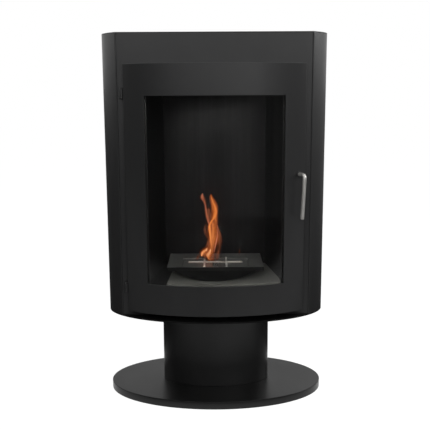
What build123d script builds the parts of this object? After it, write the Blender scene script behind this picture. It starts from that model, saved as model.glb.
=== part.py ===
from build123d import *
from math import cos, hypot, pi, radians, sin, sqrt
import os

# Free-standing bioethanol stove: an oval body with a flat front frame and a bowed glass
# door, on an oval pedestal and a wide oval foot. Millimetres, +Z up, front towards -Y.
# The origin is the middle of the foot at floor level.

# ---------------------------------------------------------------- driving dimensions
# Foot
foot_half_width = 298
foot_half_depth = 168
foot_top = 22
foot_sheet = 3
foot_edge_radius = 0.8
skirt_gap = 1
ballast_thickness = 14
ballast_fit = 1
pad_radius = 20
pad_count = 6
pad_inset = 38

# Pedestal
body_set_back = 10
column_half_width = 150
column_half_depth = 80
column_sheet = 2.5
column_height = 208
flange_thickness = 6
flange_bore_half_width = 92
flange_bore_half_depth = 34
bolt_count = 6
bolt_inset = 24
bolt_radius = 4
bolt_head_radius = 6.5
bolt_head_height = 5.3
bolt_head_gap = 1

# Body
body_half_width = 300
body_half_depth = 152
body_height = 755
plate_thickness = 3
shell_sheet = 2
front_set_back = 72
header_height = 80
frame_sheet = 3
frame_return = 20
frame_return_sheet = 2
vent_rows = 6
vent_length = 150
vent_height = 3.5
vent_pitch = 10
vent_top_drop = 30

# Firebox
firebox_lip = 2
firebox_taper = 30
firebox_back_gap = 32
firebox_sheet = 2
floor_height = 94
floor_nose_margin = 6
floor_nose_gap = 20
lintel_drop = 104
ceiling_margin = 4
flue_slot_rows = 4
flue_slot_pitch = 14
slab_thickness = 4
slab_left_front_gap = 46
slab_left_back_gap = 31
slab_wall_gap = 1.5
slab_nose_gap = 2
support_width = 30
support_depth = 130
spacer_radius = 6
spacer_x = 60
spacer_heights = (200, 550)

# Door
door_side_margin = 19
door_bottom = 19
door_sheet = 2.5
door_to_frame = 3
stile_width = 56
bottom_rail = 82.5
top_rail = 81
glass_thickness = 4
glass_lap = 12
gasket_thickness = 1.5
cap_sheet = 2
clip_width = 16
clip_sheet = 2
clip_reach = 9
clip_foot = 12
clip_stand_off = 4
clip_nut_radius = 4
clip_nut_height = 3.2
stud_length = 5
clip_side_margin = 65
clip_low = 130
clip_high = 82.5
stud_radius = 2

# Hinges
hinge_outset = 5
lower_hinge_inset = 63
upper_hinge_inset = 75
pin_radius = 3
pin_head_radius = 4.5
pin_head_height = 2.5
knuckle_radius = 5
knuckle_length = 18
ear_thickness = 3
hinge_slot_height = 29
leaf_thickness = 2.5
leaf_pad_height = 48
leaf_pad_front = 3
leaf_pad_inset = 1
pin_overhang = 1
bracket_sheet = 2
bracket_half_height = 22
bracket_reach = 22
bracket_screw_inset = 7
screw_radius = 2
screw_head_radius = 3.6
screw_head_height = 2.3
screw_tip_recess = 0.5

# Handle and latch
handle_side_margin = 17
handle_above_sill = 372
lever_radius = 5
lever_stand_off = 26
lever_bend = 10
lever_length = 115
lever_tilt = 2.9
spindle_radius = 4
spindle_socket = 8
bush_radius = 6
bush_flange_radius = 8
bush_flange_height = 2
bush_nut_radius = 9
bush_nut_height = 2.7
tongue_length = 30
tongue_width = 8
tongue_thickness = 4
tongue_corner_radius = 3.5
tongue_depth = 11
thread_radius = 3
thread_length = 3.5
spindle_nut_radius = 5.5
spindle_nut_height = 3
keeper_depth = 8
keeper_sheet = 1.5
keeper_left = 18
keeper_right = 16
keeper_half_height = 26
keeper_slot_left = 11.5
keeper_slot_right = 9
keeper_slot_half_height = 19
keeper_foot = 15
keeper_screw_shift = 3

# Burner
burner_y = -18
burner_width = 260
burner_depth = 160
burner_rim = 10
burner_sheet = 2
trough_chord = 224
trough_sag = 31
trough_sheet = 2
trough_setback = 4
deck_front_margin = 8
deck_width = 180
deck_depth = 95
deck_drop = 3
deck_gap = 0.5
tub_bottom_width = 86
tub_side_height = 15
tub_sheet = 1
tub_margin = 2
wool_drop = 2
slot_width = 150
slot_depth = 24
slot_from_back = 23
slot_lining = 1
guide_x = 30
guide_width = 5
guide_thickness = 2
guide_lap = 6
lid_thickness = 1.5
lid_side_gap = 6
lid_depth = 38
lid_front_gap = 5
lid_tab_width = 14
lid_tab_height = 10
lid_tab_sheet = 2
lid_tab_hole_radius = 2.5

# Fits
seat_gap = 0.2
running_gap = 0.05
slide_gap = 0.3
hinge_end_gap = 0.4
hole_gap = 0.25
clip_gap = 0.6

# ---------------------------------------------------------------- worked-out values
ballast_low = foot_top - foot_sheet - ballast_thickness
bolt_seat = ballast_low + bolt_head_height + bolt_head_gap
column_bottom = foot_top
body_bottom = column_bottom + column_height
shell_bottom = body_bottom + plate_thickness
body_top = body_bottom + body_height
shell_top = body_top - plate_thickness
frame_face_y = front_set_back - body_half_depth
frame_back_y = frame_face_y + frame_sheet
frame_half_width = body_half_width * sqrt(1 - (frame_face_y / body_half_depth) ** 2)
floor_underside = body_bottom + floor_height
floor_top = floor_underside + firebox_sheet
slab_top = floor_top + slab_thickness
ceiling_underside = body_top - lintel_drop
door_back_y = frame_face_y - door_to_frame
door_half_width = frame_half_width - door_side_margin
door_low = body_bottom + door_bottom
door_high = body_top - header_height
window_half_width = door_half_width - stile_width
window_low = door_low + bottom_rail
window_high = door_high - top_rail
firebox_front_half_width = window_half_width - firebox_lip
firebox_back_half_width = firebox_front_half_width - firebox_taper
firebox_back_y = body_half_depth - firebox_back_gap
floor_nose_half_width = window_half_width - floor_nose_margin
slab_left_front = slab_left_front_gap - firebox_front_half_width
slab_left_back = slab_left_back_gap - firebox_back_half_width
gasket_inset = door_sheet + seat_gap
glass_inset = gasket_inset + gasket_thickness + seat_gap
glass_back_inset = glass_inset + glass_thickness
hinge_x = -(door_half_width + hinge_outset)
hinge_y = door_back_y - knuckle_radius + seat_gap
hinge_zs = (door_low + lower_hinge_inset, door_high - upper_hinge_inset)
handle_x = door_half_width - handle_side_margin
handle_z = door_low + handle_above_sill
plate_top = slab_top + trough_sag + burner_rim
deck_top = plate_top - deck_drop
burner_front = burner_y - burner_depth / 2
deck_front = burner_front + deck_front_margin
deck_back = deck_front + deck_depth
slot_back = deck_back - slot_from_back
slot_front = slot_back - slot_depth
trough_radius = ((trough_chord / 2) ** 2 + trough_sag ** 2) / (2 * trough_sag)
trough_centre_z = slab_top + trough_radius
trough_bed = trough_radius - trough_sheet
tub_bottom = trough_centre_z - sqrt(trough_bed ** 2 - (tub_bottom_width / 2) ** 2) + slide_gap


# ---------------------------------------------------------------- building blocks
def block(x0, x1, y0, y1, z0, z1):
    """A box between two corners."""
    centre = Pos((x0 + x1) / 2, (y0 + y1) / 2, (z0 + z1) / 2)
    return centre * Box(abs(x1 - x0), abs(y1 - y0), abs(z1 - z0))


def oval(half_width, half_depth, z0, z1):
    """An upright oval prism."""
    return Pos(0, 0, z0) * extrude(Ellipse(half_width, half_depth), z1 - z0)


def body_oval(inset, z0, z1):
    """An oval prism that follows the body's outline, set in by a distance."""
    return oval(body_half_width - inset, body_half_depth - inset, z0, z1)


def disc(radius, z0, z1, x=0, y=0):
    """An upright round bar."""
    return Pos(x, y, (z0 + z1) / 2) * Cylinder(radius, z1 - z0)


def oval_points(half_width, half_depth, count):
    """Points spread round an oval, starting at the side."""
    turns = [2 * pi * i / count for i in range(count)]
    return [(half_width * cos(t), half_depth * sin(t)) for t in turns]


def prism(points, z0, z1):
    """An upright prism on a flat outline."""
    return Pos(0, 0, z0) * extrude(make_face(Polyline(*points, close=True)), z1 - z0)


def front_profile(points, y0, y1):
    """A prism along Y from an outline in the XZ plane."""
    face = make_face(Polyline(*[(x, y0, z) for x, z in points], close=True))
    return extrude(face, y1 - y0, dir=(0, 1, 0))


def bowed_band(inset_out, inset_in, half_width, z0, z1):
    """A strip of the body's front curve between two insets."""
    band = body_oval(inset_out, z0, z1) - body_oval(inset_in, z0, z1)
    window = block(-half_width, half_width, -body_half_depth - 1, frame_face_y / 2, z0, z1)
    return band & window


def door_plane(x, inset, z):
    """A plane on the bowed front: local X along the curve, local Y up, local Z outwards."""
    a = body_half_width - inset
    b = body_half_depth - inset
    y = -b * sqrt(1 - (x / a) ** 2)
    slope = (x / a ** 2, y / b ** 2)
    size = hypot(*slope)
    outwards = (slope[0] / size, slope[1] / size, 0)
    along = (-outwards[1], outwards[0], 0)
    return Plane(origin=(x, y, z), x_dir=along, z_dir=outwards)


parts = {}


def add(name, *solids, on_body=True):
    """Keep one named piece, or a group of like pieces."""
    shift = Pos(0, body_set_back if on_body else 0, 0)
    placed = [shift * solid for shape in solids for solid in shape.solids()]
    parts[name] = Compound(label=name, children=placed) if len(placed) > 1 else placed[0]


# ---------------------------------------------------------------- foot
def bolt_places():
    """Where the bolts of the pedestal's two flanges stand."""
    return oval_points(column_half_width - bolt_inset, column_half_depth - bolt_inset, bolt_count)


def make_foot():
    shell = oval(foot_half_width, foot_half_depth, skirt_gap, foot_top)
    inside = oval(foot_half_width - foot_sheet, foot_half_depth - foot_sheet,
                  skirt_gap, foot_top - foot_sheet)
    inner_gap = foot_sheet + ballast_fit
    ballast = oval(foot_half_width - inner_gap, foot_half_depth - inner_gap,
                   ballast_low, foot_top - foot_sheet)
    shell = fillet((shell - inside).edges().group_by(Axis.Z)[-1], foot_edge_radius)
    for x, y in bolt_places():
        place_y = y + body_set_back
        shell -= disc(bolt_radius + hole_gap, foot_top - foot_sheet, foot_top, x, place_y)
        ballast -= disc(bolt_radius + hole_gap, ballast_low, foot_top, x, place_y)
        ballast -= disc(bolt_head_radius + bolt_head_gap, ballast_low, bolt_seat,
                        x, place_y)
    pad_places = oval_points(foot_half_width - pad_inset, foot_half_depth - pad_inset, pad_count)
    pads = [disc(pad_radius, 0, ballast_low, x, y) for x, y in pad_places]
    add("foot_shell", shell, on_body=False)
    add("foot_ballast", ballast, on_body=False)
    add("foot_pads", *pads, on_body=False)


# ---------------------------------------------------------------- pedestal
def make_bolt(x, y, head_z, way, length):
    """A hexagon bolt: its head starts at head_z and its shank runs the given way."""
    head = extrude(RegularPolygon(bolt_head_radius, 6), bolt_head_height)
    bolt = Pos(0, 0, -bolt_head_height) * head + disc(bolt_radius, 0, length)
    return Pos(x, y, head_z) * (bolt if way > 0 else Rot(180, 0, 0) * bolt)


def make_flange(z0):
    inset = column_sheet + seat_gap
    flange = oval(column_half_width - inset, column_half_depth - inset, z0, z0 + flange_thickness)
    flange -= oval(flange_bore_half_width, flange_bore_half_depth, z0, z0 + flange_thickness)
    for x, y in bolt_places():
        flange -= disc(bolt_radius + running_gap, z0, z0 + flange_thickness, x, y)
    return flange


def make_pedestal():
    tube = oval(column_half_width, column_half_depth, column_bottom, body_bottom)
    tube -= oval(column_half_width - column_sheet, column_half_depth - column_sheet,
                 column_bottom, body_bottom)
    up = column_bottom + flange_thickness - bolt_seat
    down = plate_thickness + flange_thickness
    add("pedestal_column", tube)
    add("pedestal_foot_flange", make_flange(column_bottom))
    add("pedestal_head_flange", make_flange(body_bottom - flange_thickness))
    add("foot_bolts", *[make_bolt(x, y, bolt_seat, 1, up) for x, y in bolt_places()])
    add("body_bolts", *[make_bolt(x, y, shell_bottom, -1, down) for x, y in bolt_places()])


# ---------------------------------------------------------------- casing
def make_vents():
    """Rows of slots for warm air, one above the other on the back of the shell."""
    half = vent_length / 2
    tops = [shell_top - vent_top_drop - i * vent_pitch for i in range(vent_rows)]
    return [block(-half, half, firebox_back_y, body_half_depth, z - vent_height, z) for z in tops]


def make_casing():
    bottom = body_oval(0, body_bottom, shell_bottom)
    for x, y in bolt_places():
        bottom -= disc(bolt_radius + hole_gap, body_bottom, shell_bottom, x, y)
    front = block(-body_half_width, body_half_width, -body_half_depth, frame_face_y,
                  body_bottom, body_top)
    shell = body_oval(0, shell_bottom, shell_top) - body_oval(shell_sheet, shell_bottom, shell_top)
    shell -= front
    shell -= make_vents()
    add("body_bottom_plate", bottom)
    add("outer_shell", shell)
    add("top_plate", body_oval(0, shell_top, body_top) - front)


def make_front_frame():
    fit = shell_sheet + seat_gap
    width = body_half_width
    plate = body_oval(fit, shell_bottom, shell_top)
    plate &= block(-width, width, frame_face_y, frame_back_y, shell_bottom, shell_top)
    edge = (body_half_width - fit) * sqrt(1 - (frame_face_y / (body_half_depth - fit)) ** 2)
    for side in (-1, 1):
        outer = side * edge
        plate += block(outer, outer - side * frame_return_sheet, frame_back_y - 0.01,
                       frame_back_y + frame_return, shell_bottom, shell_top)
    plate -= block(-firebox_front_half_width, firebox_front_half_width, frame_face_y - 1,
                   frame_back_y + 1, floor_underside, ceiling_underside)
    for z in hinge_zs:
        half = hinge_slot_height / 2
        plate -= block(hinge_x - knuckle_radius - 0.5, hinge_x + knuckle_radius + 0.5,
                       frame_face_y - 1, frame_back_y + 1, z - half, z + half)
        for end in (-1, 1):
            plate -= frame_screw_hole(z + end * bracket_half_height / 2)
    for end in (-1, 1):
        z = handle_z + end * keeper_screw_drop()
        plate -= along_y(screw_radius + running_gap, keeper_screw_x(), z,
                         frame_face_y - 1, frame_back_y + 1)
    add("front_frame", plate)


def along_y(radius, x, z, y0, y1):
    """A round bar that lies along Y."""
    return Pos(x, (y0 + y1) / 2, z) * Rot(90, 0, 0) * Cylinder(radius, abs(y1 - y0))


def bracket_screw_x():
    return hinge_x + bracket_reach - bracket_screw_inset


def frame_screw_hole(z):
    return along_y(screw_radius + running_gap, bracket_screw_x(), z, frame_face_y, frame_back_y)


def keeper_screw_x():
    return handle_x - keeper_screw_shift


def keeper_screw_drop():
    return keeper_half_height + keeper_foot / 2


# ---------------------------------------------------------------- firebox
def firebox_half_width(y):
    """Inside half width of the tapering firebox at a depth."""
    share = (y - frame_back_y) / (firebox_back_y - frame_back_y)
    return firebox_front_half_width + share * (firebox_back_half_width - firebox_front_half_width)


def firebox_outline(grow):
    """The firebox's inside outline, grown outwards at the sides and the back."""
    front = firebox_half_width(frame_back_y) + grow
    back = firebox_half_width(firebox_back_y + grow) + grow
    deep = firebox_back_y + grow
    return [(-front, frame_back_y), (front, frame_back_y), (back, deep), (-back, deep)]


def make_firebox():
    nose = body_oval(floor_nose_gap, floor_underside, floor_top)
    nose &= block(-floor_nose_half_width, floor_nose_half_width, -body_half_depth, frame_back_y + 1,
                  floor_underside, floor_top)
    floor = prism(firebox_outline(ceiling_margin), floor_underside, floor_top) + nose
    liner = prism(firebox_outline(firebox_sheet), floor_top, ceiling_underside)
    liner -= prism(firebox_outline(0), floor_top, ceiling_underside)
    ceiling = prism(firebox_outline(ceiling_margin), ceiling_underside,
                    ceiling_underside + firebox_sheet)
    slot = SlotOverall(vent_length, vent_height)
    for i in range(flue_slot_rows):
        y = firebox_back_y - flue_slot_pitch * (i + 1)
        ceiling -= Pos(0, y, ceiling_underside) * extrude(slot, firebox_sheet)
    add("firebox_floor", floor)
    add("firebox_liner", liner)
    add("firebox_ceiling", ceiling)


def make_hearth_slab():
    gap = slab_wall_gap
    back = firebox_back_y - gap
    corners = [(slab_left_front, -body_half_depth), (firebox_half_width(-body_half_depth) - gap,
               -body_half_depth), (firebox_half_width(back) - gap, back), (slab_left_back, back)]
    slab = prism(corners, floor_top, slab_top)
    slab &= body_oval(floor_nose_gap + slab_nose_gap, floor_top, slab_top)
    slab &= block(slab_left_front, floor_nose_half_width, -body_half_depth, body_half_depth,
                  floor_top, slab_top)
    add("hearth_slab", slab)


def make_supports():
    """Two channels between the body's bottom plate and the firebox floor, clear of the bolts."""
    half = support_width / 2
    support_x = sum(x for x, y in bolt_places()[:2]) / 2
    deep = support_depth / 2
    channels = []
    for side in (-1, 1):
        channel = block(-half, half, -deep, deep, shell_bottom, floor_underside)
        channel -= block(-half + firebox_sheet, half, -deep, deep,
                         shell_bottom + firebox_sheet, floor_underside - firebox_sheet)
        channels.append(Pos(side * support_x, 0, 0) * (Rot(0, 0, 90 - side * 90) * channel))
    add("floor_supports", *channels)
    spacers = []
    for side in (-1, 1):
        for height in spacer_heights:
            bar = along_y(spacer_radius, side * spacer_x, body_bottom + height,
                          firebox_back_y + firebox_sheet, body_half_depth)
            spacers.append(bar & body_oval(shell_sheet + seat_gap, body_bottom, body_top))
    add("liner_spacers", *spacers)


# ---------------------------------------------------------------- burner
def trough_section(grow, y0, y1):
    """A boat-shaped section below a chord, extruded along Y."""
    round_bar = along_y(trough_radius - grow, 0, trough_centre_z, y0, y1)
    half = trough_chord / 2 + 1
    return round_bar & block(-half, half, y0, y1, slab_top, slab_top + trough_sag)


def tub_outline(grow):
    """Half-hexagon section of the fuel tub, grown inwards by a wall."""
    top = deck_width / 2 - tub_margin - grow
    low = tub_bottom_width / 2 - grow / 2
    roof = deck_top - tub_sheet
    knee = roof - tub_side_height
    return [(-low, tub_bottom + grow), (low, tub_bottom + grow), (top, knee), (top, roof),
            (-top, roof), (-top, knee)]


def make_burner():
    y0 = burner_front
    y1 = burner_front + burner_depth
    half = burner_width / 2
    rim_low = plate_top - burner_rim
    plate = block(-half, half, y0, y1, rim_low, plate_top)
    plate -= block(-half + burner_sheet, half - burner_sheet, y0 + burner_sheet, y1 - burner_sheet,
                   rim_low, plate_top - burner_sheet)
    plate -= block(-deck_width / 2, deck_width / 2, deck_front, deck_back, rim_low, plate_top)
    front = y0 + trough_setback
    back = y1 - trough_setback
    trough = trough_section(0, front, back)
    trough -= trough_section(trough_sheet, front + trough_sheet, back - trough_sheet)
    chord = trough_chord / 2
    for end in (front, back - trough_sheet):
        trough += block(-chord, chord, end, end + trough_sheet, rim_low, plate_top - burner_sheet)
    add("burner_top_plate", plate)
    add("burner_trough", trough)


def make_tub():
    tub_front = deck_front + tub_margin
    tub_back = deck_back - tub_margin
    tub = front_profile(tub_outline(0), tub_front, tub_back)
    tub -= front_profile(tub_outline(tub_sheet), tub_front + tub_sheet, tub_back - tub_sheet)
    fill = tub_sheet + slide_gap
    wool_top = deck_top - tub_sheet - wool_drop
    wool = front_profile(tub_outline(fill), tub_front + fill, tub_back - fill)
    wool &= block(-deck_width, deck_width, tub_front, tub_back, tub_bottom, wool_top)
    deck_half = deck_width / 2 - deck_gap
    deck = block(-deck_half, deck_half, deck_front + deck_gap, deck_back - deck_gap,
                 deck_top - tub_sheet, deck_top)
    slot_half = slot_width / 2
    deck -= block(-slot_half, slot_half, slot_front, slot_back, deck_top - tub_sheet, deck_top)
    lining = block(-slot_half, slot_half, slot_front, slot_back, wool_top, deck_top)
    lining -= block(-slot_half + slot_lining, slot_half - slot_lining,
                    slot_front + slot_lining, slot_back - slot_lining, wool_top, deck_top)
    add("fuel_tub", tub)
    add("ceramic_wool", wool)
    add("burner_deck", deck)
    add("slot_lining", lining)


def make_lid():
    guides = [block(side * guide_x - guide_width / 2, side * guide_x + guide_width / 2,
                    deck_front - guide_lap, deck_back + guide_lap, plate_top,
                    plate_top + guide_thickness) for side in (-1, 1)]
    low = deck_top + slide_gap
    lid_front = deck_front + lid_front_gap
    lid_half = deck_width / 2 - lid_side_gap
    lid = block(-lid_half, lid_half, lid_front, lid_front + lid_depth, low, low + lid_thickness)
    tab = block(-lid_tab_width / 2, lid_tab_width / 2, lid_front, lid_front + lid_tab_sheet,
                low + lid_thickness, low + lid_thickness + lid_tab_height)
    tab -= along_y(lid_tab_hole_radius, 0, low + lid_thickness + lid_tab_height / 2, lid_front,
                   lid_front + lid_tab_sheet)
    add("lid_guides", *guides)
    add("slide_lid", lid)
    add("lid_tab", tab)


# ---------------------------------------------------------------- door
def make_door_skin():
    skin = bowed_band(0, door_sheet, door_half_width, door_low, door_high)
    edge = body_half_depth * sqrt(1 - (door_half_width / body_half_width) ** 2)
    for side in (-1, 1):
        outer = side * door_half_width
        strip = block(outer, outer - side * door_sheet, -edge - 3, door_back_y, door_low, door_high)
        skin += strip & body_oval(0, door_low, door_high)
    skin -= block(-window_half_width, window_half_width, -body_half_depth, frame_face_y,
                  window_low, window_high)
    for z in hinge_zs:
        half = hinge_slot_height / 2
        skin -= block(-door_half_width - 1, -door_half_width + door_sheet + 1,
                      hinge_y - 3, door_back_y, z - half, z + half)
    plane = handle_plane()
    skin -= plane * Cylinder(bush_radius + hole_gap, 4 * door_sheet)
    add("door_skin", skin)


def make_door_caps():
    inset = door_sheet + seat_gap
    half = door_half_width - inset
    for name, z in (("door_bottom_cap", door_low), ("door_top_cap", door_high - cap_sheet)):
        cap = body_oval(inset, z, z + cap_sheet)
        cap &= block(-half, half, -body_half_depth, door_back_y, z, z + cap_sheet)
        add(name, cap)


def make_glazing():
    half = window_half_width + glass_lap
    low = window_low - glass_lap
    high = window_high + glass_lap
    glass = bowed_band(glass_inset, glass_back_inset, half, low, high)
    gasket = bowed_band(gasket_inset, gasket_inset + gasket_thickness, half, low, high)
    gasket -= block(-window_half_width, window_half_width, -body_half_depth, frame_face_y,
                    window_low, window_high)
    add("door_glass", glass)
    add("glass_gasket", gasket)


def make_clip():
    """A Z-shaped clip that grips the glass edge, its foot towards +Y, on its own stud."""
    over = glass_back_inset - door_sheet + clip_gap
    step = over + clip_sheet
    leg = clip_stand_off
    nut_z = clip_gap + clip_sheet
    outline = [(leg, clip_gap), (leg + clip_foot, clip_gap), (leg + clip_foot, nut_z),
               (leg + clip_sheet, nut_z), (leg + clip_sheet, step),
               (-clip_reach, step), (-clip_reach, over), (leg, over)]
    face = make_face(Polyline(*[(-clip_width / 2, y, -z) for y, z in outline], close=True))
    clip = extrude(face, clip_width, dir=(1, 0, 0))
    stud_y = leg + (clip_sheet + clip_foot) / 2
    clip -= disc(stud_radius + hole_gap, -nut_z, -clip_gap, 0, stud_y)
    nut = Pos(0, stud_y, -nut_z - clip_nut_height) * extrude(
        RegularPolygon(clip_nut_radius, 6), clip_nut_height)
    nut += disc(stud_radius, -nut_z - stud_length, -clip_gap, 0, stud_y)
    return clip, nut


def make_clips():
    clip, nut = make_clip()
    clips = []
    nuts = []
    places = []
    clip_x = window_half_width - clip_side_margin
    for x in (-clip_x, 0, clip_x):
        places.append((x, window_high + glass_lap, 0))
        places.append((x, window_low - glass_lap, 180))
    for z in (window_low + clip_low, window_high - clip_high):
        places.append((window_half_width + glass_lap, z, -90))
        places.append((-window_half_width - glass_lap, z, 90))
    for x, z, turn in places:
        seat = door_plane(x, door_sheet, z) * Rot(0, 0, turn)
        clips.append(seat * clip)
        nuts.append(seat * nut)
    add("glass_clips", *clips)
    add("clip_nuts", *nuts)


# ---------------------------------------------------------------- hinges
def make_hinge(name, z):
    half = knuckle_length / 2
    knuckle = disc(knuckle_radius, z - half, z + half, hinge_x, hinge_y)
    pad_x = -door_half_width + door_sheet + seat_gap
    leaf_half = half - leaf_pad_inset
    thin = leaf_thickness / 2
    leaf = block(hinge_x, pad_x + thin, hinge_y - thin, hinge_y + thin, z - leaf_half, z + leaf_half)
    pad = block(pad_x, pad_x + leaf_thickness, hinge_y - leaf_pad_front,
                door_back_y - leaf_pad_inset, z - leaf_pad_height / 2, z + leaf_pad_height / 2)
    knuckle = knuckle + leaf + pad
    knuckle -= disc(pin_radius + running_gap, z - half, z + half, hinge_x, hinge_y)
    add(name + "_door_knuckle", knuckle)

    plate_y = frame_back_y + bracket_sheet
    bracket = block(hinge_x - knuckle_radius, hinge_x + bracket_reach, frame_back_y, plate_y,
                    z - bracket_half_height, z + bracket_half_height)
    ear_zs = (z - half - hinge_end_gap - ear_thickness, z + half + hinge_end_gap)
    for low in ear_zs:
        high = low + ear_thickness
        bracket += block(hinge_x - knuckle_radius, hinge_x + knuckle_radius, hinge_y, plate_y,
                         low, high)
        bracket += disc(knuckle_radius, low, high, hinge_x, hinge_y)
    bracket -= disc(pin_radius + running_gap, ear_zs[0], ear_zs[1] + ear_thickness, hinge_x, hinge_y)
    screws = []
    for end in (-1, 1):
        screw_z = z + end * bracket_half_height / 2
        bracket -= along_y(screw_radius + running_gap, bracket_screw_x(), screw_z,
                           frame_back_y, plate_y)
        screws.append(along_y(screw_radius, bracket_screw_x(), screw_z, frame_face_y + screw_tip_recess,
                               plate_y)
                      + along_y(screw_head_radius, bracket_screw_x(), screw_z, plate_y,
                                plate_y + screw_head_height))
    add(name + "_frame_bracket", bracket)

    pin_top = ear_zs[1] + ear_thickness
    pin = disc(pin_radius, ear_zs[0] - pin_overhang, pin_top, hinge_x, hinge_y)
    pin += disc(pin_head_radius, pin_top, pin_top + pin_head_height, hinge_x, hinge_y)
    add(name + "_hinge_pin", pin)
    return screws


def make_hinges():
    screws = make_hinge("lower", hinge_zs[0]) + make_hinge("upper", hinge_zs[1])
    add("bracket_screws", *screws)


# ---------------------------------------------------------------- handle and latch
def handle_plane():
    """Local Z points out of the door along the spindle, local Y up."""
    return door_plane(handle_x, 0, handle_z)


def make_bush():
    plane = handle_plane()
    nut_top = -door_sheet - seat_gap
    nut_low = nut_top - bush_nut_height
    flange_top = seat_gap + bush_flange_height
    bush = disc(bush_radius, nut_low, seat_gap) + disc(bush_flange_radius, seat_gap, flange_top)
    bush -= disc(spindle_radius + running_gap, nut_low, flange_top)
    nut = Pos(0, 0, nut_low) * extrude(RegularPolygon(bush_nut_radius, 6), bush_nut_height)
    nut -= disc(bush_radius + running_gap, nut_low, nut_top)
    add("handle_bush", plane * bush)
    add("bush_nut", plane * nut)


def make_lever():
    plane = handle_plane()
    start = seat_gap + bush_flange_height + slide_gap
    tilt = radians(lever_tilt)
    end = (-lever_length * sin(tilt), -lever_length * cos(tilt), lever_stand_off)
    path = FilletPolyline((0, 0, start), (0, 0, lever_stand_off), end, radius=lever_bend)
    lever = sweep(Plane(origin=(0, 0, start), z_dir=(0, 0, 1)) * Circle(lever_radius), path)
    lever -= disc(spindle_radius + running_gap, start - 1, start + spindle_socket)
    nut_high = -tongue_depth - tongue_thickness
    spindle = disc(spindle_radius, -tongue_depth, start + spindle_socket - 0.5)
    spindle += disc(thread_radius, nut_high - thread_length, -tongue_depth)
    tongue = block(-tongue_width / 2, tongue_width / 2, -tongue_length / 2, tongue_length / 2,
                   nut_high, -tongue_depth)
    tongue = fillet(tongue.edges().filter_by(Axis.Z), tongue_corner_radius)
    tongue -= disc(thread_radius + running_gap, nut_high, -tongue_depth)
    nut_low = nut_high - spindle_nut_height
    nut = Pos(0, 0, nut_low) * extrude(RegularPolygon(spindle_nut_radius, 6), spindle_nut_height)
    nut -= disc(thread_radius + running_gap, nut_low, nut_high)
    add("handle_lever", plane * lever)
    add("latch_spindle", plane * spindle)
    add("latch_tongue", plane * tongue)
    add("spindle_nut", plane * nut)


def make_keeper():
    plane = handle_plane()
    high = keeper_half_height
    wall = block(-keeper_left, keeper_right, -high, high, -keeper_depth - keeper_sheet, -keeper_depth)
    wall -= block(-keeper_slot_left, keeper_slot_right, -keeper_slot_half_height,
                  keeper_slot_half_height, -keeper_depth - keeper_sheet, -keeper_depth)
    wall = plane * wall
    left = plane.from_local_coords((-keeper_left, 0, -keeper_depth))
    right = plane.from_local_coords((keeper_right, 0, -keeper_depth))
    outline = [(left.X, left.Y), (right.X, right.Y), (right.X, frame_face_y), (left.X, frame_face_y)]
    keeper = wall
    screws = []
    for end in (-1, 1):
        leg_z = handle_z + end * (high - keeper_sheet / 2)
        leg = prism(outline, leg_z - keeper_sheet / 2, leg_z + keeper_sheet / 2)
        foot_z = handle_z + end * (high + keeper_foot / 2 - keeper_sheet / 2)
        tall = (keeper_foot + keeper_sheet) / 2
        foot = block(left.X, right.X, frame_face_y - keeper_sheet, frame_face_y,
                     foot_z - tall, foot_z + tall)
        screw_z = handle_z + end * keeper_screw_drop()
        foot -= along_y(screw_radius + running_gap, keeper_screw_x(), screw_z,
                        frame_face_y - keeper_sheet, frame_face_y)
        keeper = keeper + leg + foot
        head_y = frame_face_y - keeper_sheet
        screws.append(along_y(screw_radius, keeper_screw_x(), screw_z, head_y, frame_back_y)
                      + along_y(screw_head_radius, keeper_screw_x(), screw_z,
                                head_y - screw_head_height, head_y))
    add("latch_keeper", keeper)
    add("keeper_screws", *screws)


# ---------------------------------------------------------------- build and write
make_foot()
make_pedestal()
make_casing()
make_front_frame()
make_firebox()
make_hearth_slab()
make_supports()
make_burner()
make_tub()
make_lid()
make_door_skin()
make_door_caps()
make_glazing()
make_clips()
make_hinges()
make_bush()
make_lever()
make_keeper()

os.makedirs("parts", exist_ok=True)
for name, shape in parts.items():
    export_step(shape, f"parts/{name}.step")
    print(name, len(shape.solids()))
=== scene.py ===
import math

import bpy
import numpy as np
from mathutils import Matrix, Vector


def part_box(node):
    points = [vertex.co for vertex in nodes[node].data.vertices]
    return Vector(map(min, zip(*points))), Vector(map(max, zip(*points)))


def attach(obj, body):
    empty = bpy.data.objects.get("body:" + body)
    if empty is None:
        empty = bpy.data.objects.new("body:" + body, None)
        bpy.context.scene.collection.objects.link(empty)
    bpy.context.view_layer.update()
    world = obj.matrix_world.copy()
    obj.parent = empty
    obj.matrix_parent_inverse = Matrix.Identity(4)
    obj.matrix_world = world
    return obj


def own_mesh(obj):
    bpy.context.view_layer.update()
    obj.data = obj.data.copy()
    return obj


# Dresses a black free-standing bioethanol stove with its finishes, its flame and a plain studio.
# Metres, +Z up, the door towards -Y.

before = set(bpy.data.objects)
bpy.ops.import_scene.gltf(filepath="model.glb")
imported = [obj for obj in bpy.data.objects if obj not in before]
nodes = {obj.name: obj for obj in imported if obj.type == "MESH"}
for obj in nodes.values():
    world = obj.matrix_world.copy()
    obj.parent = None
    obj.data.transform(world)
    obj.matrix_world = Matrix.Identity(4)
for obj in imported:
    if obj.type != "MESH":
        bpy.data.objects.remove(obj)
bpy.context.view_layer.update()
print("frame loaded:", len(nodes), "pieces")


# small helpers for meshes and node trees

def linkMesh(name, points, faces, material):
    mesh = bpy.data.meshes.new(name)
    mesh.from_pydata(points, [], faces)
    mesh.materials.append(material)
    piece = bpy.data.objects.new(name, mesh)
    bpy.context.scene.collection.objects.link(piece)
    return piece


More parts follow.
